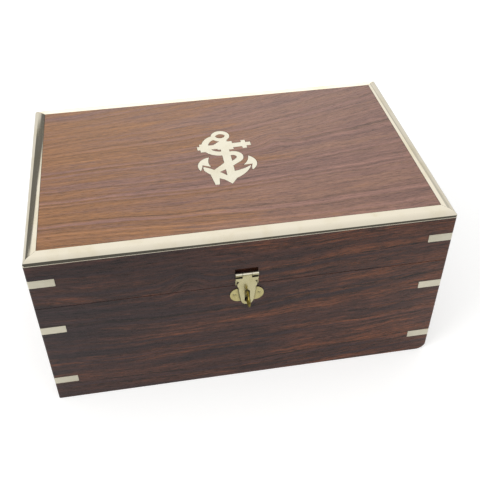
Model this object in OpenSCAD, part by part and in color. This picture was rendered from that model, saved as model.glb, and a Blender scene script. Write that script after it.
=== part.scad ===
// Ditty box: a rosewood case and hinged lid with rounded brass edge strips, flush brass
// corner bars, a fouled anchor let into the lid, and a brass hasp with its staple in front.
// Origin: middle of the underside. X runs to the right, Y to the back and Z up.

/* [Box] */
// Length of the box, left to right
box_l = 254; // [220:1:320]
// Depth of the box, front to back
box_w = 162; // [140:1:210]
// Height of the closed box
box_h = 124; // [118:1:150]
// Height of the case, from the underside to the seam
case_h = 85.2; // [80:0.2:88]
// Thickness of the walls of case and lid
wall_t = 9.5; // [9:0.25:12]
// Radius of the eased upright corners
corner_r = 1; // [0.5:0.25:2]
// Gap at the seam under the closed lid
seam_gap = 0.4; // [0.3:0.1:0.8]
// Radius of the worn front corner at the lower right
worn_r = 7.5; // [4:0.5:9]
// How far back along the side the worn corner runs out
worn_run = 12; // [8:1:16]

/* [Wood joints] */
// Thickness of the lip that a front or back board laps over the end boards
lap_lip = 4; // [3.5:0.25:5]
// Thickness of the bottom board
bottom_t = 5; // [4:0.5:7]
// Width of the wall left beside the bottom board
bottom_land = 4.5; // [4:0.5:6]
// Thickness of the lid's top board
top_t = 8; // [7:0.5:10]
// Width of the rail's top beside the top board's lip
rail_land = 4; // [3:0.5:5]
// Thickness of the felt on the floor
lining_t = 1.2; // [0.8:0.2:2]
// Gap round the felt
lining_gap = 0.4; // [0.3:0.1:1]

/* [Brass trim] */
// Width of an edge strip from its inner edge to the middle of its shoulder
strip_flat = 3.8; // [2:0.2:6]
// Radius of an edge strip's rounded shoulder
strip_r = 4; // [3:0.2:5]
// How far an edge strip's crowned top rises from its shoulder to its inner edge
crown_h = 0.28; // [0.1:0.02:0.6]
// Height of the upright edge under the shoulder
strip_edge = 0.3; // [0.2:0.1:1]
// Gap at each mitre of the edge strips
mitre_gap = 0.1; // [0.05:0.05:0.3]
// Gap between brass let into wood and the wood's edge
glue_gap = 0.2; // [0.1:0.05:0.3]
// Length of a corner bar along each face
bar_l = 15.3; // [12:0.1:20]
// Height of a corner bar
bar_h = 5.7; // [4:0.1:8]
// Thickness of a corner bar
bar_t = 2.5; // [1.5:0.25:3]
// Height of the middle of the lower case bars
lower_bar_z = 18.3; // [14:0.1:30]
// Height of the middle of the upper case bars
upper_bar_z = 66; // [50:0.1:70]
// Distance from the lid's lower edge to the middle of its bars
lid_bar_up = 19.9; // [12:0.1:22]
// How much lower the bars of the right-hand corners are set
right_bar_drop = 0.9; // [0:0.1:2]

/* [Anchor] */
// Place of the anchor's centre, left or right of the lid's middle
anchor_x = -0.8; // [-10:0.1:10]
// Place of the anchor's centre, behind or before the lid's middle
anchor_y = -5.6; // [-20:0.1:20]
// Thickness of the inlaid brass
inlay_t = 1.5; // [1:0.25:2.5]
// Width of the shank
shank_w = 5.4; // [4:0.2:7]
// Width of the rope
rope_w = 4.4; // [3:0.1:5]
// Outer radius of the ring
ring_r = 6.3; // [5.5:0.1:8]
// Half the width of the oval opening in the ring
ring_hole_r = 3.3; // [2.5:0.1:4]
// Length of the stock
stock_l = 36; // [30:0.5:42]

/* [Lid hinges] */
// Length of each butt hinge
hinge_l = 30; // [24:1:40]
// Distance from the end of the box to the middle of a hinge
hinge_from_end = 50; // [30:1:70]
// Distance of the hinge axis inside the back face
hinge_inset = 3; // [2.6:0.1:3.4]
// Number of knuckles in a hinge
knuckle_n = 5; // [3:2:7]
// Outer radius of the knuckles
barrel_r = 2; // [1.8:0.1:2.2]
// Radius of the hinge pin
pin_r = 0.8; // [0.6:0.1:1]
// Thickness of a hinge leaf
leaf_t = 1.2; // [0.8:0.1:1.4]
// Wood left between a leaf's edge and the inside of the box
leaf_land = 0.5; // [0.3:0.1:1]
// Distance between the two screws of a leaf
screw_pitch = 19; // [14:1:24]
// How far the lid opens before its bevelled back edge meets the case
open_angle = 100; // [92:1:110]
// Length of the hinge screws
screw_l = 8; // [6:0.5:10]

/* [Hasp] */
// Place of the hasp, left or right of the middle
hasp_x = -0.6; // [-5:0.1:5]
// Height of the hasp's pivot above the seam
hasp_up = 9.6; // [9:0.2:14]
// Distance of the staple's middle below the seam
staple_down = 8.1; // [7:0.1:12]
// Width of the hasp across its knuckles
hasp_w = 14; // [12:0.5:18]
// Width of the hasp's middle knuckle
hasp_mid_w = 5.6; // [4.5:0.1:6.5]
// Outer radius of the hasp's knuckles
hasp_barrel_r = 1.15; // [1:0.05:1.3]
// Radius of the hasp's pin
hasp_pin_r = 0.5; // [0.4:0.05:0.6]
// Thickness of the plate behind the hasp
hasp_plate_t = 0.7; // [0.5:0.1:0.8]
// Thickness of the swinging leaf
hasp_leaf_t = 0.9; // [0.7:0.1:1.1]
// Metal left below the slot in the swinging leaf
tongue_tip = 1.9; // [1.4:0.1:3]
// Width of the slot in the swinging leaf
slot_w = 3.3; // [2.6:0.1:3.6]
// Gap between the staple and the top of the slot
slot_top_clear = 0.4; // [0.2:0.1:0.8]
// Gap between the staple and the foot of the slot, for the leaf's swing
slot_foot_clear = 1; // [0.8:0.1:1.2]
// Diameter of the staple's wire
wire_d = 1.5; // [1.2:0.1:1.8]
// Distance from the middle of one staple leg to the other
staple_pitch = 7.6; // [7:0.1:7.8]
// How far the staple stands out of the box
staple_out = 10.4; // [9:0.1:11]
// Depth of the notch cut in the lid behind the hasp's knuckles
notch_d = 1.5; // [0.8:0.1:2.5]
// Height of that notch above the pivot
notch_h = 3.5; // [2:0.1:5]

/* [Hidden] */
$fn = 48;
eps = 0.01;

WOOD = [0.34, 0.22, 0.18];
TOP_WOOD = [0.52, 0.38, 0.30];
BRASS = [0.88, 0.84, 0.68];
HASP_BRASS = [0.74, 0.69, 0.45];
FELT = [0.33, 0.06, 0.10];

// Derived heights and widths
lid_z = case_h + seam_gap;
strip_w = strip_flat + strip_r;
strip_h = strip_edge + strip_r + crown_h;
crown_r = pow(strip_flat, 2) / (2 * crown_h) + strip_r + crown_h / 2;
rail_top = box_h - strip_h;
panel_z = box_h - top_t;
lid_bar_z = lid_z + lid_bar_up;

// Hinge axis and the clearances round it
hinge_y = box_w / 2 - hinge_inset;
hinge_z = case_h + seam_gap / 2;
hinge_x = box_l / 2 - hinge_from_end;
bevel = open_angle / 2;
pin_clear = 0.05;
knuckle_gap = 0.2;
hinge_clear = 0.3;
fit_gap = 0.05;
leaf_w = wall_t - hinge_inset - leaf_land;
screw_y = (barrel_r + hinge_clear + leaf_w) / 2;
screw_r = 0.8;
screw_head_r = 1.5;
screw_head_t = 0.8;
screw_slot = 0.4;

// Hasp pivot, and its layers measured outwards from the front face
hasp_z = hinge_z + hasp_up;
hasp_axis_out = hasp_barrel_r + 0.3;
hasp_gap = 0.3;
leaf_out = hasp_plate_t + hasp_gap;
plate_edge = 0.4;
plate_bottom = hasp_up - seam_gap / 2 - plate_edge;
staple_drop = hasp_up + staple_down;
staple_reach = (staple_pitch + wire_d) / 2;
hasp_l = staple_drop + staple_reach + slot_foot_clear + tongue_tip;
staple_end = 1.5;
nail_r = 0.5;
nail_head_r = 1;
nail_head_t = 0.4;
nail_l = 6;
nail_in = 2.6;
nail_drop = 5.6;
staple_plate_t = 0.6;
lobe_r = 5.4;
lobe_dx = 5.1;
lobe_waist = 8.8;
staple_nail_dx = 7.8;
dome_r = 1.3;
dome_h = 0.45;
window_edge = 1.1;
window_h = 1.1;
window_drop = 2.3;

// Outline of the box seen from above, with eased corners
module outline() {
    square([box_l - 2 * corner_r, box_w], center = true);
    square([box_l, box_w - 2 * corner_r], center = true);
    for (sx = [-1, 1], sy = [-1, 1])
        translate([sx * (box_l / 2 - corner_r), sy * (box_w / 2 - corner_r)])
            circle(corner_r);
}

// Moves a corner drawn at the origin to the corner on side sx, sy
module at_corner(sx, sy) {
    mirror([sx < 0 ? 1 : 0, 0, 0])
        mirror([0, sy < 0 ? 1 : 0, 0])
            translate([box_l / 2, box_w / 2, 0])
                children();
}

// Front or back board from z0 to z1, its ends rebated for the end boards
module long_board(sy, z0, z1) {
    intersection() {
        translate([0, 0, z0])
            linear_extrude(z1 - z0)
                outline();
        translate([0, 0, z0 - 1])
            linear_extrude(z1 - z0 + 2)
                mirror([0, sy < 0 ? 1 : 0])
                    difference() {
                        translate([-box_l / 2, box_w / 2 - wall_t])
                            square([box_l, wall_t]);
                        for (sx = [-1, 1])
                            translate([sx * (box_l - wall_t) / 2, box_w / 2 - lap_lip - wall_t / 2])
                                square([wall_t + eps, wall_t], center = true);
                    }
    }
}

// End board from z0 to z1, between the lips of the long boards
module end_board(sx, z0, z1) {
    translate([sx * (box_l - wall_t) / 2, 0, (z0 + z1) / 2])
        cube([wall_t, box_w - 2 * lap_lip, z1 - z0], center = true);
}

// The bottom board's space
module bottom_space(gap = 0) {
    translate([0, 0, bottom_t / 2])
        cube([box_l - 2 * bottom_land + gap, box_w - 2 * bottom_land + gap, bottom_t], center = true);
}

// The space of the top board's lip, which lies on the rails
module lip_space() {
    translate([0, 0, (panel_z + rail_top) / 2])
        cube([box_l - 2 * rail_land, box_w - 2 * rail_land, rail_top - panel_z], center = true);
}

// Plan of an L-shaped bar at a corner, its legs longer by gap and reaching out past the faces
module bar_plan(gap = 0, out = 0) {
    difference() {
        translate([-bar_l - gap, -bar_l - gap])
            square(bar_l + gap + out);
        translate([-bar_t - bar_l - 1, -bar_t - bar_l - 1])
            square(bar_l + 1);
    }
}

// A bar let flush into a corner, its middle at height z
module corner_bar(sx, sy, z) {
    translate([0, 0, z - bar_h / 2])
        linear_extrude(bar_h)
            intersection() {
                at_corner(sx, sy)
                    bar_plan();
                outline();
            }
}

// The pocket of a bar, open at the two faces of the box, with glue round the bar's edges
module corner_pocket(sx, sy, z) {
    at_corner(sx, sy)
        translate([0, 0, z - bar_h / 2 - glue_gap])
            linear_extrude(bar_h + 2 * glue_gap)
                bar_plan(glue_gap, 1);
}

// Height of a bar on side sx
function bar_z(sx, base) = base - (sx > 0 ? right_bar_drop : 0);

module case_bar_pockets() {
    for (sx = [-1, 1], sy = [-1, 1], base = [lower_bar_z, upper_bar_z])
        corner_pocket(sx, sy, bar_z(sx, base));
}

module lid_bar_pockets() {
    for (sx = [-1, 1], sy = [-1, 1])
        corner_pocket(sx, sy, bar_z(sx, lid_bar_z));
}

// What wear has taken off the lower front corner on the right: a round that runs out backwards
module worn_corner() {
    depth = worn_r * (1 - sqrt(0.5));
    tilt = atan(depth / worn_run);
    translate([box_l / 2 - worn_r, -box_w / 2, worn_r])
        rotate([-tilt, 0, -tilt])
            rotate([-90, 0, 0])
                translate([0, 0, -worn_r])
                    linear_extrude(worn_run + 2 * worn_r)
                        difference() {
                            square(2 * worn_r);
                            circle(worn_r);
                        }
}

// Places a thing on the hinge axis of side sx
module at_hinge(sx) {
    translate([sx * hinge_x, hinge_y, hinge_z])
        children();
}

// Turns what is drawn below the hinge axis over to the lid's side
module to_lid() {
    mirror([0, 0, 1])
        children();
}

// The two screw places of a leaf, on the leaf's seam face
module at_screws() {
    for (i = [-1, 1])
        translate([i * screw_pitch / 2, -screw_y, -seam_gap / 2])
            children();
}

// Countersunk screw, its head flush at z = 0; gap makes the hole for it
module screw_body(gap = 0) {
    translate([0, 0, -screw_head_t])
        cylinder(r1 = screw_r + gap, r2 = screw_head_r + gap, h = screw_head_t);
    translate([0, 0, -screw_l])
        cylinder(r = screw_r + gap, h = screw_l);
}

module screw() {
    difference() {
        screw_body();
        cube([2 * screw_head_r, screw_slot, 2 * screw_slot], center = true);
    }
}

// Wood cut away below the axis for a leaf, its screws and the knuckles
module hinge_mortise() {
    for (sx = [-1, 1])
        at_hinge(sx) {
            rotate([0, 90, 0])
                cylinder(r = barrel_r + hinge_clear, h = hinge_l + 2 * knuckle_gap, center = true);
            translate([-hinge_l / 2 - fit_gap, -leaf_w - fit_gap, -seam_gap / 2 - leaf_t])
                cube([hinge_l + 2 * fit_gap, leaf_w + fit_gap, leaf_t + seam_gap / 2]);
            at_screws()
                screw_body(fit_gap);
        }
}

// The bevel below the axis that lets the lid lean back to its stop
module back_bevel() {
    reach = hinge_inset + 1;
    translate([-box_l / 2 - 1, hinge_y, hinge_z])
        rotate([90, 0, 90])
            linear_extrude(box_l + 2)
                polygon([[0, 0], [reach, -reach * tan(bevel)], [reach, 1], [0, 1]]);
}

// One knuckle of the barrel, centred on the axis at place k
module knuckle(k) {
    pitch = hinge_l / knuckle_n;
    translate([(k + 0.5) * pitch - hinge_l / 2, 0, 0])
        children();
}

// A leaf drawn below the axis, with the knuckles from number first in steps of two
module hinge_leaf(first) {
    pitch = hinge_l / knuckle_n;
    plate_z = -seam_gap / 2 - leaf_t;
    edge_y = -barrel_r - hinge_clear;
    difference() {
        union() {
            translate([-hinge_l / 2, -leaf_w, plate_z])
                cube([hinge_l, leaf_w + edge_y, leaf_t]);
            for (k = [first:2:knuckle_n - 1])
                knuckle(k) {
                    rotate([0, 90, 0])
                        cylinder(r = barrel_r, h = pitch - knuckle_gap, center = true);
                    translate([-(pitch - knuckle_gap) / 2, edge_y - eps, plate_z])
                        cube([pitch - knuckle_gap, eps - edge_y, leaf_t]);
                }
        }
        rotate([0, 90, 0])
            cylinder(r = pin_r + pin_clear, h = hinge_l + 1, center = true);
        at_screws()
            screw_body(fit_gap);
    }
}

module hinge_pin(sx) {
    color(BRASS)
        at_hinge(sx)
            rotate([0, 90, 0])
                cylinder(r = pin_r, h = hinge_l, center = true);
}

// Places a thing on the front face at the hasp's pivot: x right, y up, z outwards
module at_hasp() {
    translate([hasp_x, -box_w / 2, hasp_z])
        rotate([90, 0, 0])
            children();
}

// The same at the middle of the staple
module at_staple() {
    at_hasp()
        translate([0, -staple_drop, 0])
            children();
}

// Round bar along x at the hasp's pivot
module hasp_rod(r, x0, x1) {
    translate([x0, 0, hasp_axis_out])
        rotate([0, 90, 0])
            cylinder(r = r, h = x1 - x0);
}

// Flat-headed nail, its head flush at z = 0
module nail(gap = 0) {
    translate([0, 0, -nail_head_t])
        cylinder(r = nail_head_r + gap, h = nail_head_t);
    translate([0, 0, -nail_l])
        cylinder(r = nail_r + gap, h = nail_l);
}

module hasp_nails(gap = 0) {
    at_hasp()
        for (i = [-1, 1])
            translate([i * (hasp_w / 2 - nail_in), -nail_drop, hasp_plate_t])
                nail(gap);
}

// Domed nail, its head resting on z = 0
module domed_nail(gap = 0) {
    ball_r = (dome_r * dome_r + dome_h * dome_h) / (2 * dome_h);
    if (gap == 0)
        intersection() {
            translate([0, 0, dome_h - ball_r])
                sphere(ball_r, $fn = 64);
            cylinder(r = dome_r, h = 2 * dome_h);
        }
    translate([0, 0, -nail_l])
        cylinder(r = nail_r + gap, h = nail_l);
}

module staple_nail_set(gap = 0) {
    at_staple()
        for (i = [-1, 1])
            translate([i * staple_nail_dx, 0, staple_plate_t])
                domed_nail(gap);
}

// Notch in the lid's front behind the hasp's knuckles and above them
module hasp_notch() {
    at_hasp()
        translate([-hasp_w / 2, -window_drop - window_h, -notch_d])
            cube([hasp_w, notch_h + window_drop + window_h, notch_d + 1]);
}

// Wire of the staple with a gap round it; the bend stands outside the box
module staple_wire(gap = 0) {
    r = wire_d / 2 + gap;
    bend_r = staple_pitch / 2;
    leg_out = staple_out - wire_d / 2 - bend_r;
    leg_in = wall_t - staple_end;
    at_staple() {
        for (i = [-1, 1])
            translate([0, i * bend_r, -leg_in])
                cylinder(r = r, h = leg_in + leg_out);
        translate([0, 0, leg_out])
            rotate([0, -90, 0])
                rotate([0, 0, -90])
                    rotate_extrude(angle = 180)
                        translate([bend_r, 0])
                            circle(r);
    }
}

// Points of an arc from p to q that bulges to the left of the way by rise
function bow(p, q, rise, n = 10) =
    let (d = q - p, c = norm(d), along = d / c, left = [-along[1], along[0]],
         r = (c * c / 4 + rise * rise) / (2 * abs(rise)), side = sign(rise),
         half = 2 * atan(2 * abs(rise) / c))
    [for (i = [0:n])
        let (a = -half + 2 * half * i / n)
        (p + q) / 2 + along * r * sin(a) + left * side * (r * cos(a) - r + abs(rise))];

// Part of a flat ring of middle radius r and width w, between two angles
module arc_band(r, w, a0, a1) {
    reach = 2 * (r + w);
    intersection() {
        difference() {
            circle(r + w / 2);
            circle(r - w / 2);
        }
        polygon(concat([[0, 0]], [for (i = [0:4])
            let (a = a0 + (a1 - a0) * i / 4)
            reach * [cos(a), sin(a)]]));
    }
}

// Straight band between two points, w wide at the first and w_end wide at the second
module band(p, q, w, w_end) {
    d = q - p;
    translate(p)
        rotate(atan2(d[1], d[0]))
            polygon([[0, -w / 2], [norm(d), -w_end / 2], [norm(d), w_end / 2], [0, w / 2]]);
}

// The anchor with its rope, cut from one sheet
module anchor_plan() {
    shank_x = 1;
    ring = [0.1, 29.3];
    ring_hole_h = 2.5;
    stock_y = 17.1;
    stock_h = 4.9;
    stock_end_h = 4;
    stock_tilt = 1;
    stock_thick_l = 28.4;
    collars = [-14.7, 13.4];
    collar = [3, 9.3];
    crown = [0.2, -25];
    upper = [-1.7, 18.7];
    upper_r = 9.9;
    upper_w = rope_w + 0.2;
    loop = [5, 3.5];
    loop_r = 4.55;
    // Ring and shank
    difference() {
        union() {
            translate(ring)
                circle(ring_r);
            band([shank_x, -18], [shank_x, ring[1] - ring_hole_h - 1], shank_w, shank_w);
        }
        translate(ring)
            polygon(concat(bow([ring_hole_r, 0], [-ring_hole_r, 0], -ring_hole_h),
                bow([-ring_hole_r, 0], [ring_hole_r, 0], -ring_hole_h)));
    }
    // Stock with its collars, and the boss where rope and stock cross the shank
    translate([shank_x, stock_y])
        rotate(stock_tilt) {
            square([stock_l, stock_end_h], center = true);
            square([stock_thick_l, stock_h], center = true);
            for (x = collars)
                translate([x, 0])
                    square(collar, center = true);
        }
    polygon([[-4.6, 15], [-3.3, 13.5], [-1.6, 13.4], [-1.6, 12.5], [6.9, 12.5], [6.9, 22.1], [-2.4, 22.4],
        [-5.8, 19.5], [-5.8, 16]]);
    // Rope: round the stock, across the shank, round to the right and back across
    translate(upper)
        arc_band(upper_r, upper_w, 105, 277);
    band([shank_x, loop[1] + loop_r], loop + [eps, loop_r], rope_w, rope_w);
    translate(loop)
        arc_band(loop_r, rope_w, -60, 92);
    polygon([[-9.1, -12.4], [-6.1, -11.5], [-1.95, -9.3], [4.5, -5.3], [8.8, -2.1], [6.7, 1.6], [3.7, -0.6],
        [-1.8, -2.1], [-9.1, -8.6]]);
    polygon([[-10.6, -11], [-12.1, -13.5], [-10.5, -24.4], [-7.8, -24.4], [-6.9, -17], [-7.8, -11.6]]);
    // Arms down to the crown
    polygon(concat([crown], bow([4, -19.4], [14.9, -7.8], -1.5), bow([14.6, -7.5], [3.4, -11.9], 0.7)));
    polygon(concat([crown], [[3.4, -12.1], [-2, -15.6]], bow([-2, -15.6], [-14.2, -5], -0.7),
        [[-15.4, -4.3], [-15.8, -5.2]], bow([-15.6, -8.4], [-3.9, -20], -1.1)));
}

// A fluke with its barb, turned about the centre of its outer arc
module fluke_plan() {
    r = 9.4;
    tip = r * [cos(96), sin(96)];
    heel = r * [cos(210), sin(210)];
    notch = [-6.3, 1.4];
    barb = [-1.1, -1.3];
    polygon(concat([for (i = [0:12]) let (a = 96 + 114 * i / 12) r * [cos(a), sin(a)]],
        bow(heel, notch, -0.3, 4), bow(barb, tip, 1.1)));
}

module left_fluke_plan() {
    translate([-9.6, -3.7])
        fluke_plan();
}

module right_fluke_plan() {
    translate([9.9, -4.5])
        mirror([1, 0])
            rotate(26)
                fluke_plan();
}

module inlay(gap = 0) {
    translate([anchor_x, anchor_y, box_h - inlay_t])
        linear_extrude(inlay_t + (gap > 0 ? 1 : 0))
            if (gap > 0)
                offset(delta = gap)
                    children();
            else
                children();
}

// Section of an edge strip: a slightly crowned top that runs on into a round shoulder, and a
// small upright edge. The two arcs meet on the line through their middles.
module strip_section() {
    shoulder = [strip_flat, strip_edge];
    crown = [0, strip_h - crown_r];
    over = crown + (crown_r + 1) * (shoulder - crown) / norm(shoulder - crown);
    intersection() {
        translate(crown)
            circle(crown_r, $fn = 360);
        polygon([[0, 0], [strip_flat, 0], shoulder, over, [0, over[1]]]);
    }
    square([strip_w, strip_edge]);
    translate(shoulder)
        intersection() {
            circle(strip_r);
            square(strip_r);
        }
}

// Edge strip along a side of length l whose outer face lies w / 2 from the middle, drawn at the back
module edge_strip(l, w) {
    half = l / 2 - mitre_gap / 2;
    intersection() {
        translate([-l / 2, w / 2 - strip_w, rail_top])
            rotate([90, 0, 90])
                linear_extrude(l)
                    strip_section();
        translate([0, 0, rail_top - 1])
            linear_extrude(strip_h + 2)
                polygon([[-half, w / 2], [half, w / 2],
                    [half - strip_w, w / 2 - strip_w], [strip_w - half, w / 2 - strip_w]]);
    }
}

// Keeps a strip's end inside the eased corners
module in_outline() {
    intersection() {
        children();
        translate([0, 0, rail_top - 1])
            linear_extrude(strip_h + 2)
                outline();
    }
}

module front_panel() {
    color(WOOD)
        difference() {
            long_board(-1, 0, case_h);
            bottom_space();
            case_bar_pockets();
            staple_wire(fit_gap);
            staple_nail_set(fit_gap);
            worn_corner();
        }
}

module back_panel() {
    color(WOOD)
        difference() {
            long_board(1, 0, case_h);
            bottom_space();
            case_bar_pockets();
            back_bevel();
            hinge_mortise();
        }
}

module left_panel() {
    color(WOOD)
        difference() {
            end_board(-1, 0, case_h);
            bottom_space();
            case_bar_pockets();
        }
}

module right_panel() {
    color(WOOD)
        difference() {
            end_board(1, 0, case_h);
            bottom_space();
            case_bar_pockets();
            worn_corner();
        }
}

module bottom_panel() {
    color(WOOD)
        bottom_space();
}

module floor_lining() {
    color(FELT)
        translate([0, 0, bottom_t + lining_t / 2])
            cube([box_l - 2 * wall_t - 2 * lining_gap, box_w - 2 * wall_t - 2 * lining_gap, lining_t],
                center = true);
}

module case_bar(sx, sy, base) {
    color(BRASS)
        corner_bar(sx, sy, bar_z(sx, base));
}

module lid_bar(sx, sy) {
    color(BRASS)
        corner_bar(sx, sy, bar_z(sx, lid_bar_z));
}

module staple_plate() {
    color(HASP_BRASS)
        difference() {
            at_staple()
                linear_extrude(staple_plate_t) {
                    for (i = [-1, 1])
                        translate([i * lobe_dx, 0])
                            circle(lobe_r);
                    square([2 * lobe_dx, lobe_waist], center = true);
                }
            staple_wire(fit_gap);
            staple_nail_set(fit_gap);
        }
}

module staple() {
    color(HASP_BRASS)
        staple_wire();
}

module staple_nails() {
    color(HASP_BRASS)
        staple_nail_set();
}

module case_leaf(sx) {
    color(BRASS)
        at_hinge(sx)
            hinge_leaf(0);
}

module lid_leaf(sx) {
    color(BRASS)
        at_hinge(sx)
            to_lid()
                hinge_leaf(1);
}

module case_hinge_screws() {
    color(BRASS)
        for (sx = [-1, 1])
            at_hinge(sx)
                at_screws()
                    screw();
}

module lid_hinge_screws() {
    color(BRASS)
        for (sx = [-1, 1])
            at_hinge(sx)
                to_lid()
                    at_screws()
                        screw();
}

module lid_top_panel() {
    inner = strip_w + glue_gap;
    color(TOP_WOOD)
        difference() {
            union() {
                lip_space();
                translate([0, 0, (panel_z + box_h) / 2])
                    cube([box_l - 2 * inner, box_w - 2 * inner, top_t], center = true);
            }
            inlay(glue_gap)
                anchor_plan();
            inlay(glue_gap)
                left_fluke_plan();
            inlay(glue_gap)
                right_fluke_plan();
        }
}

module lid_front_rail() {
    color(WOOD)
        difference() {
            long_board(-1, lid_z, rail_top);
            lip_space();
            lid_bar_pockets();
            hasp_notch();
            hasp_nails(fit_gap);
        }
}

module lid_back_rail() {
    color(WOOD)
        difference() {
            long_board(1, lid_z, rail_top);
            lip_space();
            lid_bar_pockets();
            translate([0, 0, 2 * hinge_z])
                to_lid() {
                    back_bevel();
                    hinge_mortise();
                }
        }
}

module lid_left_rail() {
    color(WOOD)
        difference() {
            end_board(-1, lid_z, rail_top);
            lip_space();
            lid_bar_pockets();
        }
}

module lid_right_rail() {
    color(WOOD)
        difference() {
            end_board(1, lid_z, rail_top);
            lip_space();
            lid_bar_pockets();
        }
}

module front_edge_strip() {
    color(BRASS)
        in_outline()
            rotate(180)
                edge_strip(box_l, box_w);
}

module back_edge_strip() {
    color(BRASS)
        in_outline()
            edge_strip(box_l, box_w);
}

module left_edge_strip() {
    color(BRASS)
        in_outline()
            rotate(90)
                edge_strip(box_w, box_l);
}

module right_edge_strip() {
    color(BRASS)
        in_outline()
            rotate(-90)
                edge_strip(box_w, box_l);
}

module anchor_inlay() {
    color(BRASS)
        inlay()
            anchor_plan();
}

module left_fluke_inlay() {
    color(BRASS)
        inlay()
            left_fluke_plan();
}

module right_fluke_inlay() {
    color(BRASS)
        inlay()
            right_fluke_plan();
}

// The plate nailed to the lid, with the two outer knuckles
module hasp_plate() {
    mid = hasp_mid_w / 2 + knuckle_gap;
    clear_y = hasp_barrel_r + hinge_clear;
    window_w = hasp_w / 2 - window_edge - mid;
    color(HASP_BRASS)
        difference() {
            at_hasp()
                difference() {
                    union() {
                        translate([-hasp_w / 2, -plate_bottom, 0])
                            cube([hasp_w, plate_bottom, hasp_plate_t]);
                        hasp_rod(hasp_barrel_r, -hasp_w / 2, hasp_w / 2);
                        translate([-hasp_w / 2, -hasp_barrel_r, 0])
                            cube([hasp_w, hasp_barrel_r, hasp_axis_out]);
                    }
                    translate([-mid, -clear_y, -1])
                        cube([2 * mid, 2 * clear_y, 4 * hasp_axis_out]);
                    hasp_rod(hasp_pin_r + pin_clear, -hasp_w, hasp_w);
                    for (i = [-1, 1])
                        translate([i * (mid + window_w / 2) - window_w / 2, -window_drop - window_h, -1])
                            cube([window_w, window_h, 2 * hasp_axis_out]);
                }
            hasp_nails(fit_gap);
        }
}

module hasp_plate_nails() {
    color(HASP_BRASS)
        hasp_nails();
}

module hasp_pin() {
    color(HASP_BRASS)
        at_hasp()
            hasp_rod(hasp_pin_r, -hasp_w / 2, hasp_w / 2);
}

// Outline of the swinging leaf: neck, rounded shoulders, ears and a tapered tongue
module hasp_outline() {
    shoulder_y = -2.8;
    shoulder_r = 2.7;
    side = hasp_w / 2 - 1.6;
    waist_y = -5.8;
    ear_y = -8.4;
    ear_r = 2.7;
    ear_x = side - 2;
    tongue_y = -11.4;
    tip = [3.9, 3.4 - hasp_l];
    end = [2.9, 1.2 - hasp_l];
    nick_r = 0.6;
    nick_x = side + 0.2;
    difference() {
        union() {
            translate([-hasp_mid_w / 2, shoulder_y - 1])
                square([hasp_mid_w, 1 - shoulder_y]);
            translate([-side, tongue_y])
                square([2 * side, shoulder_y - tongue_y]);
            for (i = [-1, 1]) {
                intersection() {
                    translate([i * (hasp_w / 2 - shoulder_r), shoulder_y])
                        circle(shoulder_r);
                    translate([-hasp_w / 2, shoulder_y - shoulder_r])
                        square([hasp_w, shoulder_r]);
                }
                translate([i * ear_x, ear_y])
                    circle(ear_r);
            }
            polygon(concat([[-side, tongue_y + eps], [side, tongue_y + eps], tip],
                bow(end, [-end[0], end[1]], end[1] + hasp_l, 8), [[-tip[0], tip[1]]]));
        }
        for (i = [-1, 1], y = [waist_y, tongue_y])
            translate([i * nick_x, y])
                circle(nick_r);
    }
}

// The slot that drops over the staple
module hasp_slot() {
    top = staple_reach + slot_top_clear - slot_w / 2;
    foot = slot_w / 2 - staple_reach - slot_foot_clear;
    translate([0, -staple_drop]) {
        translate([-slot_w / 2, foot])
            square([slot_w, top - foot]);
        for (y = [foot, top])
            translate([0, y])
                circle(slot_w / 2);
    }
}

module hasp_leaf() {
    color(HASP_BRASS)
        at_hasp()
            difference() {
                union() {
                    translate([0, 0, leaf_out])
                        linear_extrude(hasp_leaf_t)
                            difference() {
                                hasp_outline();
                                hasp_slot();
                            }
                    hasp_rod(hasp_barrel_r, -hasp_mid_w / 2, hasp_mid_w / 2);
                }
                hasp_rod(hasp_pin_r + pin_clear, -hasp_w, hasp_w);
            }
}

front_panel();
back_panel();
left_panel();
right_panel();
bottom_panel();
floor_lining();
case_bar(-1, -1, lower_bar_z);  // case_bar_front_left_lower
case_bar(-1, -1, upper_bar_z);  // case_bar_front_left_upper
case_bar(1, -1, lower_bar_z);  // case_bar_front_right_lower
case_bar(1, -1, upper_bar_z);  // case_bar_front_right_upper
case_bar(-1, 1, lower_bar_z);  // case_bar_back_left_lower
case_bar(-1, 1, upper_bar_z);  // case_bar_back_left_upper
case_bar(1, 1, lower_bar_z);  // case_bar_back_right_lower
case_bar(1, 1, upper_bar_z);  // case_bar_back_right_upper
staple_plate();
staple();
staple_nails();
case_leaf(-1);  // left_hinge_case_leaf
case_leaf(1);  // right_hinge_case_leaf
hinge_pin(-1);  // left_hinge_pin
hinge_pin(1);  // right_hinge_pin
case_hinge_screws();
lid_top_panel();
lid_front_rail();
lid_back_rail();
lid_left_rail();
lid_right_rail();
front_edge_strip();
back_edge_strip();
left_edge_strip();
right_edge_strip();
lid_bar(-1, -1);  // lid_bar_front_left
lid_bar(1, -1);  // lid_bar_front_right
lid_bar(-1, 1);  // lid_bar_back_left
lid_bar(1, 1);  // lid_bar_back_right
anchor_inlay();
left_fluke_inlay();
right_fluke_inlay();
hasp_plate();
hasp_plate_nails();
hasp_pin();
lid_leaf(-1);  // left_hinge_lid_leaf
lid_leaf(1);  // right_hinge_lid_leaf
lid_hinge_screws();
hasp_leaf();
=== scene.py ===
from math import radians

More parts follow.
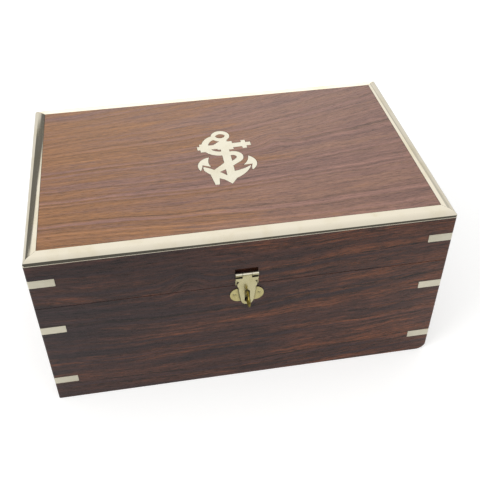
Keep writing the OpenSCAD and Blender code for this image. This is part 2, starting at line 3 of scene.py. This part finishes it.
import bpy
import numpy as np
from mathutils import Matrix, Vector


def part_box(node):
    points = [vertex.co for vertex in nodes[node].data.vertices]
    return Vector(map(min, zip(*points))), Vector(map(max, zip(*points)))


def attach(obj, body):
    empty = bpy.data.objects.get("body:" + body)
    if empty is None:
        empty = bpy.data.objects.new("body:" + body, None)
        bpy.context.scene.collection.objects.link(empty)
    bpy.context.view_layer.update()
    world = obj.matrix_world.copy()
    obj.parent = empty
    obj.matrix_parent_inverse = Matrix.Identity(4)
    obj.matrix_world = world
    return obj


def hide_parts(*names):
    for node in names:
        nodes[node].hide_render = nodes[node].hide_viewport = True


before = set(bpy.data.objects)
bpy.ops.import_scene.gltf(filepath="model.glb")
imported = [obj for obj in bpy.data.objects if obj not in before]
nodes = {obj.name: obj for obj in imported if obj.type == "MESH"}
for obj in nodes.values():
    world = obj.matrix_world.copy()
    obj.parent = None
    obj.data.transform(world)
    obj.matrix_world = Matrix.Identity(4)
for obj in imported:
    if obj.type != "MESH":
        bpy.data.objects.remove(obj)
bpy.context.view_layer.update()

# Camera: above the front and a little to the left, at the distance from which a 54 mm lens
# sees the whole box. It leans by less than half a degree.
camera = bpy.data.objects.new("camera", bpy.data.cameras.new("camera"))
camera.data.lens = 53.58
camera.location = (-0.0541, -0.3839, 0.3922)
camera.rotation_euler = (radians(48.587), radians(0.326), radians(-9.575))
bpy.context.collection.objects.link(camera)
bpy.context.scene.camera = camera
bpy.context.scene.view_settings.view_transform = "Standard"

# Studio: a white room with a floor of white paper. A dark band lies along the horizon in front,
# higher at the left. Behind is a bright low wall whose edge steps down at both sides, with a dark
# screen on it at the left and a dark rail along it at the right. The brass mirrors them.
PAPER_W, PAPER_FRONT, PAPER_BACK, PAPER_Z = 4.0, -0.24, 2.2, -0.0002
PAPER_TONE, PAPER_LIFT = (0.77, 0.77, 0.76, 1), 0.4
# Directions have parts aside, behind and up. A pair is where a change starts and ends
BACK, BACK_GAIN, SIDE_GLOW = (0.2, 0.5), 0.12, 0.91
BAND_TURN, BAND_LEFT, BAND_RIGHT, BAND_SINK = (-0.16, 0.14), 0.25, -0.02, -0.4
BAND_SOFT, BAND_GLOW = (-0.03, 0.05), 0.12
LEFT_SLOPE, LEFT_LEVEL, LEFT_MOST, LEFT_END = 0.69, 0.64, 0.465, (-0.12, -0.1)
RIGHT_SLOPE, RIGHT_LEVEL, RIGHT_START = 0.6, 0.19, (0.28, 0.32)
MIDDLE_LEVEL, EDGE_SOFT = 0.52, (0.014, -0.014)
WALL_MIDDLE, WALL_SPREAD, WALL_FAR = 0.1, (0.2, 0.34), (0.7, 0.84)
MIDDLE_GLOW, ENDS_GLOW, NEAR_GLOW = 1.4, 0.78, 0.75
SCREEN_SLOPE, SCREEN_TOP, SCREEN_SIDE = 0.45, (0.468, 0.444), (-0.095, -0.115)
RAIL_HALF, RAIL_START, RAIL_DARK, SCREEN_DARK = 0.035, (0.3, 0.36), 0.4, 0.84


def put(tree, kind, inputs=None, **settings):
    """Adds a shader node. Inputs maps a socket's name or number to a value or to what feeds it."""
    made = tree.nodes.new(kind)
    for name, value in settings.items():
        setattr(made, name, value)
    for name, value in (inputs or {}).items():
        if isinstance(value, bpy.types.NodeSocket):
            tree.links.new(value, made.inputs[name])
        else:
            made.inputs[name].default_value = value
    return made


def sum_of(tree, operation, *values):
    """One Math node on numbers or sockets, such as MULTIPLY or MULTIPLY_ADD, as its output."""
    return put(tree, "ShaderNodeMath", dict(enumerate(values)), operation=operation).outputs[0]


def eased(tree, value, low, high, to_low=0.0, to_high=1.0):
    """The value eased from to_low at low to to_high at high, and level outside."""
    inputs = {"Value": value, 1: low, 2: high, 3: to_low, 4: to_high}
    return put(tree, "ShaderNodeMapRange", inputs, interpolation_type="SMOOTHSTEP").outputs[0]


def between(tree, share, first, second):
    """Number between first and second by share."""
    return put(tree, "ShaderNodeMix", {0: share, 2: first, 3: second}).outputs[0]


sky = bpy.data.worlds.new("studio")
bpy.context.scene.world = sky
sky.use_nodes = True
tree = sky.node_tree
tree.nodes.clear()
way = put(tree, "ShaderNodeTexCoord").outputs["Generated"]
parts = put(tree, "ShaderNodeSeparateXYZ", {0: way})
aside, behind, up = (parts.outputs[axis] for axis in "XYZ")
at_back = eased(tree, behind, *BACK)
band_top = eased(tree, aside, *BAND_TURN, BAND_LEFT, BAND_RIGHT)
band_top = sum_of(tree, "MULTIPLY_ADD", at_back, BAND_SINK, band_top)
over_band = sum_of(tree, "SUBTRACT", up, band_top)
glow = eased(tree, over_band, *BAND_SOFT, BAND_GLOW, 1.0)
room_glow = sum_of(tree, "MULTIPLY_ADD", behind, BACK_GAIN, SIDE_GLOW)
glow = sum_of(tree, "MULTIPLY", glow, room_glow)
# The low wall's edge: rising at the left, level in the middle, and rising again at the right
left_edge = sum_of(tree, "MULTIPLY_ADD", aside, LEFT_SLOPE, LEFT_LEVEL)
left_edge = sum_of(tree, "MINIMUM", left_edge, LEFT_MOST)
right_edge = sum_of(tree, "MULTIPLY_ADD", aside, RIGHT_SLOPE, RIGHT_LEVEL)
edge = eased(tree, aside, *LEFT_END, left_edge, MIDDLE_LEVEL)
edge = eased(tree, aside, *RIGHT_START, edge, right_edge)
over_edge = sum_of(tree, "SUBTRACT", up, edge)
low_wall = sum_of(tree, "MULTIPLY", at_back, eased(tree, over_edge, *EDGE_SOFT))
off_middle = sum_of(tree, "ABSOLUTE", sum_of(tree, "SUBTRACT", aside, WALL_MIDDLE))
wall_glow = eased(tree, off_middle, *WALL_SPREAD, MIDDLE_GLOW, ENDS_GLOW)
wall_glow = eased(tree, behind, *WALL_FAR, NEAR_GLOW, wall_glow)
glow = between(tree, low_wall, glow, wall_glow)
# The screen's top slopes down to the right, and the rail follows the wall's edge
screen = eased(tree, sum_of(tree, "MULTIPLY_ADD", aside, SCREEN_SLOPE, up), *SCREEN_TOP)
screen = sum_of(tree, "MULTIPLY", screen, eased(tree, aside, *SCREEN_SIDE))
screen = sum_of(tree, "MULTIPLY", screen, sum_of(tree, "SUBTRACT", at_back, low_wall))
rail = eased(tree, sum_of(tree, "ABSOLUTE", over_edge), 0.0, RAIL_HALF, RAIL_DARK, 0.0)
rail = sum_of(tree, "MULTIPLY", rail, eased(tree, aside, *RAIL_START))
dark = sum_of(tree, "MULTIPLY", rail, at_back)
dark = sum_of(tree, "MULTIPLY_ADD", screen, SCREEN_DARK, dark)
glow = sum_of(tree, "MULTIPLY", glow, sum_of(tree, "SUBTRACT", 1.0, dark))
# Beyond the paper the camera itself sees plain white
seen = put(tree, "ShaderNodeLightPath").outputs["Is Camera Ray"]
strength = between(tree, seen, glow, 1.0)
air = put(tree, "ShaderNodeBackground", {"Color": (1, 1, 1, 1), "Strength": strength})
put(tree, "ShaderNodeOutputWorld", {"Surface": air.outputs[0]})

lamp = bpy.data.objects.new("softbox", bpy.data.lights.new("softbox", "AREA"))
lamp.data.size = 1.0
lamp.data.energy = 11
lamp.location = (-1.3, -0.6, 1.15)
lamp.rotation_euler = (radians(50), 0, radians(-65))
bpy.context.collection.objects.link(lamp)

paper_mesh = bpy.data.meshes.new("paper")
paper_mesh.from_pydata([(-PAPER_W / 2, PAPER_FRONT, PAPER_Z), (PAPER_W / 2, PAPER_FRONT, PAPER_Z),
                        (PAPER_W / 2, PAPER_BACK, PAPER_Z), (-PAPER_W / 2, PAPER_BACK, PAPER_Z)],
                       [], [(0, 1, 2, 3)])
paper = bpy.data.objects.new("paper", paper_mesh)
bpy.context.collection.objects.link(paper)
paper_look = bpy.data.materials.new("white_paper")
paper_look.use_nodes = True
tree = paper_look.node_tree
tree.nodes.clear()
matt = put(tree, "ShaderNodeBsdfDiffuse", {"Color": PAPER_TONE})
# The lift makes the paper white for the camera only, and adds no light to the box
seen = put(tree, "ShaderNodeLightPath").outputs["Is Camera Ray"]
lift = sum_of(tree, "MULTIPLY", seen, PAPER_LIFT)
shine = put(tree, "ShaderNodeEmission", {"Color": (1, 1, 1, 1), "Strength": lift})
both = put(tree, "ShaderNodeAddShader", {0: matt.outputs[0], 1: shine.outputs[0]})
put(tree, "ShaderNodeOutputMaterial", {"Surface": both.outputs[0]})
paper_mesh.materials.append(paper_look)

# Rosewood: the figure of a sawn board. Growth rings are shells round the tree's heart, so a face
# shows fine lines along the grain and its end shows arcs. Warm and dark zones, short streaks,
# fibres and open pores follow the same bends. It works in metres, with the grain along X.
KNOT_LIFT, SWAY_BY, RIPPLE_BY, RING_SCALE = 0.7, 0.012, 0.0018, 330.0
# Noises: features to the metre along and across the grain, detail and roughness
SWAY, RIPPLE = (9, 14, 2), (55, 40, 2)
WARM_ZONES, DARK_ZONES, DARK_SHIFT = (10, 100, 3, 0.6), (8, 85, 3, 0.6), (0.7, 0.4, 0.2)
STREAKS, FIBRES, PORES = (52, 700, 4, 0.85), (240, 2400, 2), (190, 1500, 2)
ZONE_TOP, ZONE_FALL, ZONE_SOFT, ZONE_DETAIL = 0.82, -0.6, 0.08, 0.45
PORE_EDGE, PORE_DARK, PORE_ROUGH, PORE_TONE = (0.6, 0.72), 0.45, 0.2, (30, 18, 14)
FIBRE_SPREAD, FIBRE_ROUGH, FIBRE_MARK, FIBRE_RISE = (0.3, 0.7), (0.26, 0.32), 0.3, 0.3
# Nooks: old polish and painted shade, from ambient occlusion within each board
NOOK_REACH, NOOK_OPEN, NOOK_POLISH_AND_SHADE_MOST, NOOK_POLISH_AND_SHADE_TONE = 0.006, (0.4, 0.8), 0.85, (22, 16, 12)


def colour(red, green, blue):
    """A shader colour from the 0 to 255 values that a screen shows."""
    shown = np.array([red, green, blue]) / 255
    linear = np.where(shown <= 0.04045, shown / 12.92, ((shown + 0.055) / 1.055) ** 2.4)
    return (*linear.tolist(), 1.0)


def blended(tree, share, first, second, mode="MIX"):
    """Colour between first and second by share."""
    made = put(tree, "ShaderNodeMix", {0: share, 6: first, 7: second},
               data_type="RGBA", blend_type=mode)
    return made.outputs[2]


def vector_sum(tree, operation, first, second=(0, 0, 0), result=0):
    """One Vector Math node on vectors, as one of its outputs."""
    made = put(tree, "ShaderNodeVectorMath", {0: first, 1: second}, operation=operation)
    return made.outputs[result]


def noise(tree, vector, scale, detail, roughness=0.5, distortion=0.0):
    """Noise from 0 to 1 about 0.5, with scale features to the unit."""
    inputs = {"Vector": vector, "Scale": scale, "Detail": detail, "Roughness": roughness,
              "Distortion": distortion}
    return put(tree, "ShaderNodeTexNoise", inputs).outputs[0]


def new_group(name, sockets):
    """A shader group with sockets from (name, kind, direction), as tree, inputs and outputs."""
    made = bpy.data.node_groups.new(name, "ShaderNodeTree")
    for label, kind, direction in sockets:
        made.interface.new_socket(label, in_out=direction, socket_type=kind)
    given, out = made.nodes.new("NodeGroupInput"), made.nodes.new("NodeGroupOutput")
    return made, given.outputs, out.inputs


figure, given, out = new_group("rosewood_figure", [
    ("Vector", "NodeSocketVector", "INPUT"),
    ("Heart", "NodeSocketVector", "INPUT"),
    ("Bends", "NodeSocketVector", "INPUT"),
    ("Knot", "NodeSocketVector", "INPUT"),
    ("Knot Size", "NodeSocketFloat", "INPUT"),
    ("Warm", "NodeSocketColor", "INPUT"),
    ("Ground", "NodeSocketColor", "INPUT"),
    ("Dark", "NodeSocketColor", "INPUT"),
    ("Warm Share", "NodeSocketFloat", "INPUT"),
    ("Warm Lean", "NodeSocketFloat", "INPUT"),
    ("Dark Share", "NodeSocketFloat", "INPUT"),
    ("Dark Lean", "NodeSocketFloat", "INPUT"),
    ("Contrast", "NodeSocketFloat", "INPUT"),
    ("Color", "NodeSocketColor", "OUTPUT"),
    ("Roughness", "NodeSocketFloat", "OUTPUT"),
    ("Height", "NodeSocketFloat", "OUTPUT"),
])


def grain_noise(vector, along, across, detail, roughness=0.5):
    """Noise with along and across features to the metre."""
    vector = vector_sum(figure, "MULTIPLY", vector, (along, across, across))
    return noise(figure, vector, 1.0, detail, roughness)


# The grain's run: across = y - x (slope + fan y + bow x), less a bell-shaped lift round the knot,
# the slow sway and the ripple
bends = put(figure, "ShaderNodeSeparateXYZ", {0: given["Bends"]}).outputs
spot = put(figure, "ShaderNodeSeparateXYZ", {0: given["Vector"]}).outputs
slope = sum_of(figure, "MULTIPLY_ADD", bends["Y"], spot["Y"], bends["X"])
slope = sum_of(figure, "MULTIPLY_ADD", bends["Z"], spot["X"], slope)
rise = sum_of(figure, "MULTIPLY", slope, spot["X"])
to_knot = vector_sum(figure, "DISTANCE", given["Vector"], given["Knot"], "Value")
to_knot = sum_of(figure, "DIVIDE", to_knot, given["Knot Size"])
knot = sum_of(figure, "MULTIPLY", sum_of(figure, "POWER", to_knot, 2.0), -0.5)
knot = sum_of(figure, "MULTIPLY", sum_of(figure, "EXPONENT", knot), given["Knot Size"])
rise = sum_of(figure, "MULTIPLY_ADD", knot, KNOT_LIFT, rise)
for waves, reach in ((SWAY, SWAY_BY), (RIPPLE, RIPPLE_BY)):
    swing = sum_of(figure, "SUBTRACT", grain_noise(given["Vector"], *waves), 0.5)
    rise = sum_of(figure, "MULTIPLY_ADD", swing, reach, rise)
rise = put(figure, "ShaderNodeCombineXYZ", {"Y": rise}).outputs[0]
run = vector_sum(figure, "SUBTRACT", given["Vector"], rise)

# Rings go by the distance from the heart across the grain
from_heart = vector_sum(figure, "SUBTRACT", run, given["Heart"])
from_heart = vector_sum(figure, "MULTIPLY", from_heart, (0, 1, 1))
rings = vector_sum(figure, "LENGTH", from_heart, result="Value")
ring_inputs = {"W": rings, "Scale": RING_SCALE, "Detail": 3.0, "Roughness": 0.7}
lines = put(figure, "ShaderNodeTexNoise", ring_inputs, noise_dimensions="1D").outputs[0]
warm_zones = grain_noise(run, *WARM_ZONES)
dark_zones = grain_noise(vector_sum(figure, "ADD", run, DARK_SHIFT), *DARK_ZONES)
streaks = grain_noise(run, *STREAKS)
fibres = grain_noise(run, *FIBRES)
pores = eased(figure, grain_noise(run, *PORES), *PORE_EDGE)


def zone(share, lean, patches, detail):
    """Soft mask of where noise patches with some detail pass a level. The level falls as the
    share grows, which leans along the grain."""
    here = sum_of(figure, "MULTIPLY_ADD", given[lean], spot["X"], given[share])
    level = sum_of(figure, "MULTIPLY_ADD", here, ZONE_FALL, ZONE_TOP)
    field = sum_of(figure, "MULTIPLY", patches, 1 - ZONE_DETAIL)
    field = sum_of(figure, "MULTIPLY_ADD", detail, ZONE_DETAIL, field)
    return eased(figure, sum_of(figure, "SUBTRACT", field, level), -ZONE_SOFT, ZONE_SOFT)


warm_mask = zone("Warm Share", "Warm Lean", warm_zones, streaks)
dark_mask = zone("Dark Share", "Dark Lean", dark_zones, lines)
tone = blended(figure, warm_mask, given["Ground"], given["Warm"])
tone = blended(figure, dark_mask, tone, given["Dark"])
marks = sum_of(figure, "MULTIPLY", sum_of(figure, "ADD", lines, streaks), 0.5)
marks = sum_of(figure, "SUBTRACT", marks, 0.5)
fibre_marks = sum_of(figure, "SUBTRACT", fibres, 0.5)
marks = sum_of(figure, "MULTIPLY_ADD", fibre_marks, FIBRE_MARK, marks)
shade = sum_of(figure, "MULTIPLY_ADD", marks, given["Contrast"], 1.0)
shade = put(figure, "ShaderNodeCombineColor", {0: shade, 1: shade, 2: shade}).outputs[0]
tone = blended(figure, 1.0, tone, shade, "MULTIPLY")
pore_dark = sum_of(figure, "MULTIPLY", pores, PORE_DARK)
rough = eased(figure, fibres, *FIBRE_SPREAD, *FIBRE_ROUGH)
height = sum_of(figure, "MULTIPLY", fibres, FIBRE_RISE)
put_out = {
    "Color": blended(figure, pore_dark, tone, colour(*PORE_TONE)),
    "Roughness": sum_of(figure, "MULTIPLY_ADD", pores, PORE_ROUGH, rough),
    "Height": sum_of(figure, "SUBTRACT", height, pores),
}
for name, value in put_out.items():
    figure.links.new(value, out[name])


def new_look(name):
    """A material, its node tree and its main shader."""
    look = bpy.data.materials.new(name)
    look.use_nodes = True
    return look, look.node_tree, look.node_tree.nodes["Principled BSDF"]


def placed(tree, group, turn, shift, values):
    """A group on the piece's own place, turned by degrees and then shifted, as its outputs."""
    turn = tuple(radians(angle) for angle in turn)
    place = put(tree, "ShaderNodeTexCoord").outputs["Object"]
    turned = put(tree, "ShaderNodeMapping", {"Vector": place, "Location": shift, "Rotation": turn})
    made = put(tree, "ShaderNodeGroup", node_tree=group)
    tree.links.new(turned.outputs[0], made.inputs["Vector"])
    for socket, value in values.items():
        made.inputs[socket.replace("_", " ")].default_value = value
    return made.outputs


def surfaced(tree, shader, tone, rough, height, strength, depth):
    """Feeds the shader its tone and roughness, and its relief from height as a bump."""
    relief = {"Strength": strength, "Distance": depth, "Height": height}
    tree.links.new(tone, shader.inputs["Base Color"])
    tree.links.new(rough, shader.inputs["Roughness"])
    tree.links.new(put(tree, "ShaderNodeBump", relief).outputs[0], shader.inputs["Normal"])


def rosewood(name, turn, shift, **values):
    """A polished board cut from the figure: turned until its grain lies right, then shifted to a
    place of its own. Old polish and painted shade darken its nooks, from ambient occlusion."""
    look, tree, shader = new_look(name)
    board = placed(tree, figure, turn, shift, values)
    open_air = put(tree, "ShaderNodeAmbientOcclusion", {"Distance": NOOK_REACH},
                   samples=8, only_local=True).outputs["AO"]
    nook_polish_and_shade = eased(tree, open_air, *NOOK_OPEN, NOOK_POLISH_AND_SHADE_MOST, 0.0)
    tone = blended(tree, nook_polish_and_shade, board["Color"], colour(*NOOK_POLISH_AND_SHADE_TONE))
    surfaced(tree, shader, tone, board["Roughness"], board["Height"], strength=0.3, depth=0.0001)
    shader.inputs["IOR"].default_value = 1.5
    return look


def dress(look, *names):
    """Gives CAD nodes a material."""
    for name in names:
        nodes[name].data.materials.clear()
        nodes[name].data.materials.append(look)


# Case and lid sides: dark boards, darker than the top's wood partly as painted shade. The lid
# was sawn off the closed box, so each side's figure runs on across the seam. The grain goes
# round the box, along X in front and along Y at the ends, and the front board has a small knot
# left of the hasp.
# Side tones: darker than the top's, partly as painted shade
SIDE_TONES = {"Warm": colour(114, 66, 42), "Ground": colour(80, 49, 40),
              "Dark": colour(47, 31, 32)}
# A plain board's knot is put far outside it
NO_KNOT = {"Knot": (5, 5, 5), "Knot_Size": 0.01}
EVEN = {"Bends": (0, 0, 0), "Warm_Share": 0.5, "Dark_Share": 0.5, "Contrast": 4.2, **SIDE_TONES}
front_wood = rosewood("front_rosewood", (-90, 0, 0), (0, 0, 0),
                      Heart=(0, -0.2, 0.02), Bends=(0.03, 0.0, 0.33),
                      Knot=(-0.036, 0.093, 0.081), Knot_Size=0.008,
                      Warm_Share=0.45, Warm_Lean=0.5, Dark_Share=0.48, Dark_Lean=-0.8,
                      Contrast=6.1, **SIDE_TONES)
back_wood = rosewood("back_rosewood", (-90, 0, 0), (1.7, 0.2, 0.3),
                     Heart=(0, 0.02, 0.26), Knot=(1.75, 0.26, 0.23), Knot_Size=0.01, **EVEN)
left_wood = rosewood("left_rosewood", (-90, -90, 0), (0.9, 0.6, 0.1),
                     Heart=(0, 0.45, 0.05), **NO_KNOT, **EVEN)
right_wood = rosewood("right_rosewood", (-90, -90, 0), (2.3, 0.1, 0.5),
                      Heart=(0, 0.4, 0.55), **NO_KNOT, **EVEN)
dress(front_wood, "front_panel", "lid_front_rail")
dress(back_wood, "back_panel", "lid_back_rail")
dress(left_wood, "left_panel", "lid_left_rail")
dress(right_wood, "right_panel", "lid_right_rail")

# Bottom board: the same wood, a plainer board let up into rebates in the case's sides, with its
# grain along the box.
bottom_wood = rosewood("bottom_rosewood", (0, 0, 0), (3.1, 0.9, 0.8),
                       Heart=(0, 0.85, 0.6), Bends=(0, 0, 0), Warm_Share=0.4, Dark_Share=0.4,
                       Contrast=3.5, **NO_KNOT, **SIDE_TONES)
dress(bottom_wood, "bottom_panel")

# Lid's top board: paler and redder, with golden zones at the left. Its grain fans out towards the
# back, round a faint dark knot right of the anchor.
top_wood = rosewood("top_rosewood", (0, 0, 0), (0, 0, 0),
                    Heart=(0, -0.25, 0.02), Bends=(0.1, 1.7, 0.3),
                    Knot=(0.034, 0.013, 0.124), Knot_Size=0.007,
                    Warm=colour(145, 99, 60), Ground=colour(142, 103, 83),
                    Dark=colour(128, 92, 80), Warm_Share=0.5, Warm_Lean=-2.8,
                    Dark_Share=0.5, Dark_Lean=0.8, Contrast=3.4)
dress(top_wood, "lid_top_panel")

# Brass: pale polished sheet and strip, with faint lines along its length from polishing and a
# little tarnish in patches. The corners of the stamped pieces hold old polish and painted shade.
LINE_SCALE, LINE_ROUGH, PATCH_SCALE, PATCH_RISE = (35, 1600, 1600), (-0.02, 0.03), 55.0, 2.0
TARNISH_EDGE, TARNISH_MOST, TARNISH_ROUGH = (0.42, 0.78), 0.55, 0.06
# What faces up gets a painted highlight
HIGHLIGHT_FACING, PAINTED_HIGHLIGHT_TONE = (0.3, 0.7), (252, 246, 226)
# Corners: old polish and painted shade, from ambient occlusion that also sees nearby pieces
GRIME_AND_SHADE_OPEN, GRIME_AND_SHADE_MOST, GRIME_AND_SHADE_TONE = (0.5, 0.9), 0.97, (34, 27, 12)
GRIME_AND_SHADE_ROUGH, GRIME_AND_SHADE_DULL = 0.4, -0.8

metal, given, out = new_group("polished_brass", [
    ("Vector", "NodeSocketVector", "INPUT"),
    ("Bright", "NodeSocketColor", "INPUT"),
    ("Tarnish", "NodeSocketColor", "INPUT"),
    ("Roughness", "NodeSocketFloat", "INPUT"),
    ("Color", "NodeSocketColor", "OUTPUT"),
    ("Roughness", "NodeSocketFloat", "OUTPUT"),
    ("Height", "NodeSocketFloat", "OUTPUT"),
])
lines = noise(metal, vector_sum(metal, "MULTIPLY", given["Vector"], LINE_SCALE), 1.0, 2.0)
patches = noise(metal, given["Vector"], PATCH_SCALE, 4.0, 0.6)
tarnish = eased(metal, patches, *TARNISH_EDGE, 0.0, TARNISH_MOST)
rough = eased(metal, lines, 0.3, 0.7, *LINE_ROUGH)
rough = sum_of(metal, "ADD", given["Roughness"], rough)
put_out = {
    "Color": blended(metal, tarnish, given["Bright"], given["Tarnish"]),
    "Roughness": sum_of(metal, "MULTIPLY_ADD", tarnish, TARNISH_ROUGH, rough),
    "Height": sum_of(metal, "MULTIPLY_ADD", patches, PATCH_RISE, lines),
}
for name, value in put_out.items():
    metal.links.new(value, out[name])


def brass(name, turn, bright, tarnish, roughness, corners=0.0, highlight_share=0.0):
    """Brass whose polishing lines run along X, turned about Z. Where corners gives a size, old
    polish and painted shade darken corners of that size, and what faces up gets a painted
    highlight by the given share."""
    look, tree, shader = new_look(name)
    values = {"Bright": bright, "Tarnish": tarnish, "Roughness": roughness}
    sheet = placed(tree, metal, (0, 0, turn), (0, 0, 0), values)
    tone, rough = sheet["Color"], sheet["Roughness"]
    shader.inputs["Metallic"].default_value = 1.0
    if corners > 0:
        # A painted highlight on what faces up
        facing = put(tree, "ShaderNodeTexCoord").outputs["Normal"]
        facing = put(tree, "ShaderNodeSeparateXYZ", {0: facing}).outputs["Z"]
        painted_highlight = eased(tree, facing, *HIGHLIGHT_FACING, 0.0, highlight_share)
        tone = blended(tree, painted_highlight, tone, colour(*PAINTED_HIGHLIGHT_TONE))
        # Old polish and painted shade darken the corners
        open_air = put(tree, "ShaderNodeAmbientOcclusion", {"Distance": corners}, samples=12)
        grime_and_shade = eased(tree, open_air.outputs["AO"], *GRIME_AND_SHADE_OPEN, GRIME_AND_SHADE_MOST, 0.0)
        tone = blended(tree, grime_and_shade, tone, colour(*GRIME_AND_SHADE_TONE))
        rough = sum_of(tree, "MULTIPLY_ADD", grime_and_shade, GRIME_AND_SHADE_ROUGH, rough)
        metallic = sum_of(tree, "MULTIPLY_ADD", grime_and_shade, GRIME_AND_SHADE_DULL, 1.0)
        tree.links.new(metallic, shader.inputs["Metallic"])
    surfaced(tree, shader, tone, rough, sheet["Height"], strength=0.1, depth=0.00005)
    return look


# Edge strips: rounded brass strips glued round the lid's top board and mitred at its corners.
# They are polished brighter than the rest, so they mirror the room.
STRIP_BRIGHT, STRIP_TARNISH, STRIP_ROUGH = colour(242, 233, 212), colour(222, 209, 172), 0.04
long_brass = brass("long_strip_brass", 0, STRIP_BRIGHT, STRIP_TARNISH, STRIP_ROUGH)
end_brass = brass("end_strip_brass", 90, STRIP_BRIGHT, STRIP_TARNISH, STRIP_ROUGH)
dress(long_brass, "front_edge_strip", "back_edge_strip")
dress(end_brass, "left_edge_strip", "right_edge_strip")

# Corner bars and the anchor with its flukes: brass plate let in flush and rubbed down with the
# wood, so it is even and only half bright.
inlay_brass = brass("inlay_brass", 0, colour(233, 227, 207), colour(216, 206, 178), 0.3)
dress(inlay_brass, *[name for name in nodes if "_bar_" in name or name.endswith("inlay")])

# Hasp and staple: stamped yellow brass, nailed on and duller than the trim. The staple's plate is
# yellower and its wire has gone brown.
# The hasp and staple carry old polish and painted shade in their corners
STAMPED_CORNER = 0.003
hasp_brass = brass("hasp_brass", 90, colour(222, 214, 170), colour(184, 172, 112), 0.22,
                   corners=STAMPED_CORNER, highlight_share=0.85)
plate_brass = brass("staple_plate_brass", 90, colour(214, 203, 146), colour(178, 164, 98), 0.24,
                    corners=STAMPED_CORNER, highlight_share=0.4)
wire_brass = brass("staple_wire_brass", 90, colour(152, 138, 72), colour(104, 88, 40), 0.3,
                   corners=STAMPED_CORNER)
dress(hasp_brass, "hasp_plate", "hasp_plate_nails", "hasp_pin", "hasp_leaf")
dress(plate_brass, "staple_plate", "staple_nails")
dress(wire_brass, "staple")

# Lid hinges: drawn brass leaves with their pins, held by brass screws. They are yellower and
# duller than the trim.
hinge_brass = brass("hinge_brass", 0, colour(226, 208, 150), colour(180, 158, 96), 0.28)
dress(hinge_brass, *[name for name in nodes if "hinge" in name])

# Felt: a dark red sheet laid on the floor and glued down, its pile a little uneven and its cut
# edge soft. It stands for the lining's plain slab.
FELT_STEP, FELT_DROP, FELT_WAVE = 0.0016, 0.00015, 0.00005
FELT_ROUND, FELT_EDGE = 0.0005, 0.0012
# Waves: turns along x and y in radians to the metre, and where each starts
FELT_WAVES = ((61, 17, 0), (-38, 83, 1), (140, 121, 2))
FELT_DEEP, FELT_RED, FELT_NAP = (96, 18, 30), (128, 30, 44), (150, 58, 66)
NAP_SCALE, NAP_EDGE, NAP_SHARE, CLUMP_SCALE = 2600.0, (0.45, 0.7), 0.5, 240.0
low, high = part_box("floor_lining")
across = np.linspace(low.x, high.x, int((high.x - low.x) / FELT_STEP) + 1)
deep = np.linspace(low.y, high.y, int((high.y - low.y) / FELT_STEP) + 1)


def felt_top(x, y):
    """Height of the pile: z = top - 0.15 mm + three slow waves of 0.05 mm, rounded down by 0.5 mm
    over the last 1.2 mm."""
    waves = sum(np.sin(a * x + b * y + start) for a, b, start in FELT_WAVES)
    to_edge = np.minimum(np.minimum(x - low.x, high.x - x), np.minimum(y - low.y, high.y - y))
    fall = 1 - np.clip(to_edge / FELT_EDGE, 0, 1)
    return high.z - FELT_DROP + FELT_WAVE * waves - FELT_ROUND * fall ** 2


x, y = np.meshgrid(across, deep, indexing="ij")
top = np.stack([x, y, felt_top(x, y)], -1).reshape(-1, 3)
under = np.stack([x, y, np.full_like(x, low.z)], -1).reshape(-1, 3)
columns, rows = len(across), len(deep)
order = np.arange(columns * rows).reshape(columns, rows)
quads = np.stack([order[:-1, :-1], order[1:, :-1], order[1:, 1:], order[:-1, 1:]], -1)
quads = quads.reshape(-1, 4)
rim = np.concatenate([order[:-1, 0], order[-1, :-1], order[:0:-1, -1], order[0, :0:-1]])
after = np.roll(rim, -1)
skirt = np.stack([rim + columns * rows, after + columns * rows, after, rim], -1)
faces = np.concatenate([quads, quads[:, ::-1] + columns * rows, skirt])
felt_mesh = bpy.data.meshes.new("felt_lining")
felt_mesh.from_pydata(np.concatenate([top, under]).tolist(), [], faces.tolist())
felt = bpy.data.objects.new("felt_lining", felt_mesh)
bpy.context.collection.objects.link(felt)
felt_look, tree, shader = new_look("red_felt")
place = put(tree, "ShaderNodeTexCoord").outputs["Object"]
nap = noise(tree, place, NAP_SCALE, 3.0)
clumps = noise(tree, place, CLUMP_SCALE, 3.0, distortion=1.5)
tone = blended(tree, eased(tree, clumps, 0.3, 0.7), colour(*FELT_DEEP), colour(*FELT_RED))
tone = blended(tree, eased(tree, nap, *NAP_EDGE, 0.0, NAP_SHARE), tone, colour(*FELT_NAP))
tree.links.new(tone, shader.inputs["Base Color"])
relief = {"Strength": 0.8, "Distance": 0.0003, "Height": sum_of(tree, "ADD", nap, clumps)}
tree.links.new(put(tree, "ShaderNodeBump", relief).outputs[0], shader.inputs["Normal"])
shader.inputs["Roughness"].default_value = 0.95
shader.inputs["Sheen Weight"].default_value = 0.4
felt_mesh.materials.append(felt_look)
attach(felt, "case")
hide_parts("floor_lining")
